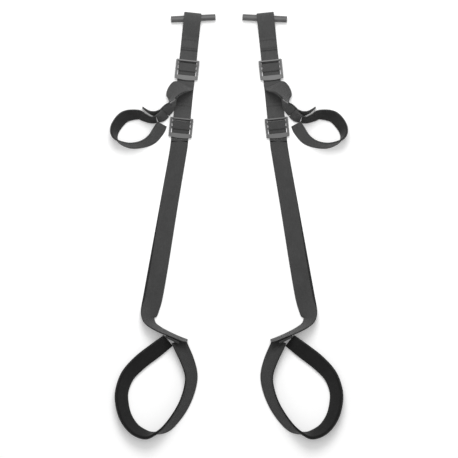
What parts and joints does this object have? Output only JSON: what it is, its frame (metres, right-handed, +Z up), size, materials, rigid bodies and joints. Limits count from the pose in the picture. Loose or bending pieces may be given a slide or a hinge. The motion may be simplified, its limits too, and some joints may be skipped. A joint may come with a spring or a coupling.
{
  "type": "over-door suspension strap pair",
  "caption": "Mirrored pair of adjustable webbing straps with door-anchor bars, ladder-lock buckles, wrist loops and padded leg loops, laid flat.",
  "frame": {"origin": "middle of the pair, on the floor that it lies on", "axes": "+Y up the straps towards the door bars, +X across to the right strap, +Z up from the floor"},
  "size_m": [0.523, 0.9394, 0.0426],
  "materials": {
    "webbing": "woven polyester",
    "leg_webbing": "woven polyester",
    "leg_loop_webbing": "woven polyester",
    "lining": "brushed knit",
    "padding": "brushed knit over foam",
    "thread": "sewing thread",
    "buckle": "satin",
    "bar": "satin"
  },
  "bodies": {
    "left_anchor": {"left_anchor_webbing": "webbing", "left_anchor_stitching": "thread", "left_fold_stitching": "thread", "left_keeper_webbing": "webbing"},
    "left_bar": {"left_door_bar": "bar"},
    "left_upper_lock": {"left_upper_buckle": "buckle", "left_wrist_strap_turn": "webbing"},
    "left_wrist_run": {"left_wrist_strap": "webbing", "left_wrist_strap_tail": "webbing"},
    "left_wrist_cuff": {"left_wrist_loop_seam": "webbing", "left_wrist_loop_webbing": "webbing", "left_wrist_loop_lining": "lining"},
    "left_lower_lock": {"left_lower_buckle": "buckle", "left_leg_strap_turn": "leg_webbing"},
    "left_leg_run": {"left_leg_strap": "leg_webbing", "left_leg_strap_tail": "leg_webbing"},
    "left_leg_cuff": {"left_leg_loop_seam": "leg_loop_webbing", "left_leg_loop_webbing": "leg_loop_webbing", "left_leg_loop_padding": "padding"},
    "right_anchor": {"right_anchor_webbing": "webbing", "right_anchor_stitching": "thread", "right_fold_stitching": "thread", "right_keeper_webbing": "webbing"},
    "right_bar": {"right_door_bar": "bar"},
    "right_upper_lock": {"right_upper_buckle": "buckle", "right_wrist_strap_turn": "webbing"},
    "right_wrist_run": {"right_wrist_strap": "webbing", "right_wrist_strap_tail": "webbing"},
    "right_wrist_cuff": {"right_wrist_loop_seam": "webbing", "right_wrist_loop_webbing": "webbing", "right_wrist_loop_lining": "lining"},
    "right_lower_lock": {"right_lower_buckle": "buckle", "right_leg_strap_turn": "leg_webbing"},
    "right_leg_run": {"right_leg_strap": "leg_webbing", "right_leg_strap_tail": "leg_webbing"},
    "right_leg_cuff": {"right_leg_loop_seam": "leg_loop_webbing", "right_leg_loop_webbing": "leg_loop_webbing", "right_leg_loop_padding": "padding"}
  },
  "joints": [
    {"name": "left_bar_spin", "type": "hinge", "parent": "left_anchor", "child": "left_bar", "pos_m": [-0.0785, 0.45523, 0.0088], "axis": [0.9988, 0.0489, 0], "continuous": true},
    {"name": "left_upper_buckle_tilt", "type": "hinge", "parent": "left_anchor", "child": "left_upper_lock", "pos_m": [-0.0903, 0.36195, 0.0058], "axis": [-0.9945, 0.1045, 0], "range_deg": [0, 20]},
    {"name": "left_wrist_strap_swing", "type": "hinge", "parent": "left_upper_lock", "child": "left_wrist_run", "pos_m": [-0.09499, 0.31734, 0.0052], "axis": [-0.9945, 0.1045, 0], "range_deg": [0, 40]},
    {"name": "left_wrist_loop_swing", "type": "hinge", "parent": "left_wrist_run", "child": "left_wrist_cuff", "pos_m": [-0.1392, 0.24703, 0.036], "axis": [-0.6919, 0.722, 0], "range_deg": [0, 50]},
    {"name": "left_lower_buckle_tilt", "type": "hinge", "parent": "left_anchor", "child": "left_lower_lock", "pos_m": [-0.10372, 0.23435, 0.0042], "axis": [-0.9945, 0.1045, 0], "range_deg": [0, 20]},
    {"name": "left_leg_strap_swing", "type": "hinge", "parent": "left_lower_lock", "child": "left_leg_run", "pos_m": [-0.1084, 0.18974, 0.0036], "axis": [-0.9945, 0.1045, 0], "range_deg": [0, 45]},
    {"name": "left_leg_loop_swing", "type": "hinge", "parent": "left_leg_run", "child": "left_leg_cuff", "pos_m": [-0.1386, -0.23947, 0.038], "axis": [-0.8984, 0.4392, 0], "range_deg": [0, 60]},
    {"name": "right_bar_spin", "type": "hinge", "parent": "right_anchor", "child": "right_bar", "pos_m": [0.0785, 0.45523, 0.0088], "axis": [0.9988, -0.0489, 0], "continuous": true},
    {"name": "right_upper_buckle_tilt", "type": "hinge", "parent": "right_anchor", "child": "right_upper_lock", "pos_m": [0.0903, 0.36195, 0.0058], "axis": [-0.9945, -0.1045, 0], "range_deg": [0, 20]},
    {"name": "right_wrist_strap_swing", "type": "hinge", "parent": "right_upper_lock", "child": "right_wrist_run", "pos_m": [0.09499, 0.31734, 0.0052], "axis": [-0.9945, -0.1045, 0], "range_deg": [0, 40]},
    {"name": "right_wrist_loop_swing", "type": "hinge", "parent": "right_wrist_run", "child": "right_wrist_cuff", "pos_m": [0.1392, 0.24703, 0.036], "axis": [-0.6919, -0.722, 0], "range_deg": [0, 50]},
    {"name": "right_lower_buckle_tilt", "type": "hinge", "parent": "right_anchor", "child": "right_lower_lock", "pos_m": [0.10372, 0.23435, 0.0042], "axis": [-0.9945, -0.1045, 0], "range_deg": [0, 20]},
    {"name": "right_leg_strap_swing", "type": "hinge", "parent": "right_lower_lock", "child": "right_leg_run", "pos_m": [0.1084, 0.18974, 0.0036], "axis": [-0.9945, -0.1045, 0], "range_deg": [0, 45]},
    {"name": "right_leg_loop_swing", "type": "hinge", "parent": "right_leg_run", "child": "right_leg_cuff", "pos_m": [0.1386, -0.23947, 0.038], "axis": [-0.8984, -0.4392, 0], "range_deg": [0, 60]},
    {"name": "strap_spacing", "type": "slide", "parent": "left_anchor", "child": "right_anchor", "axis": [1, 0, 0], "range_m": [0, 0.3]}
  ]
}
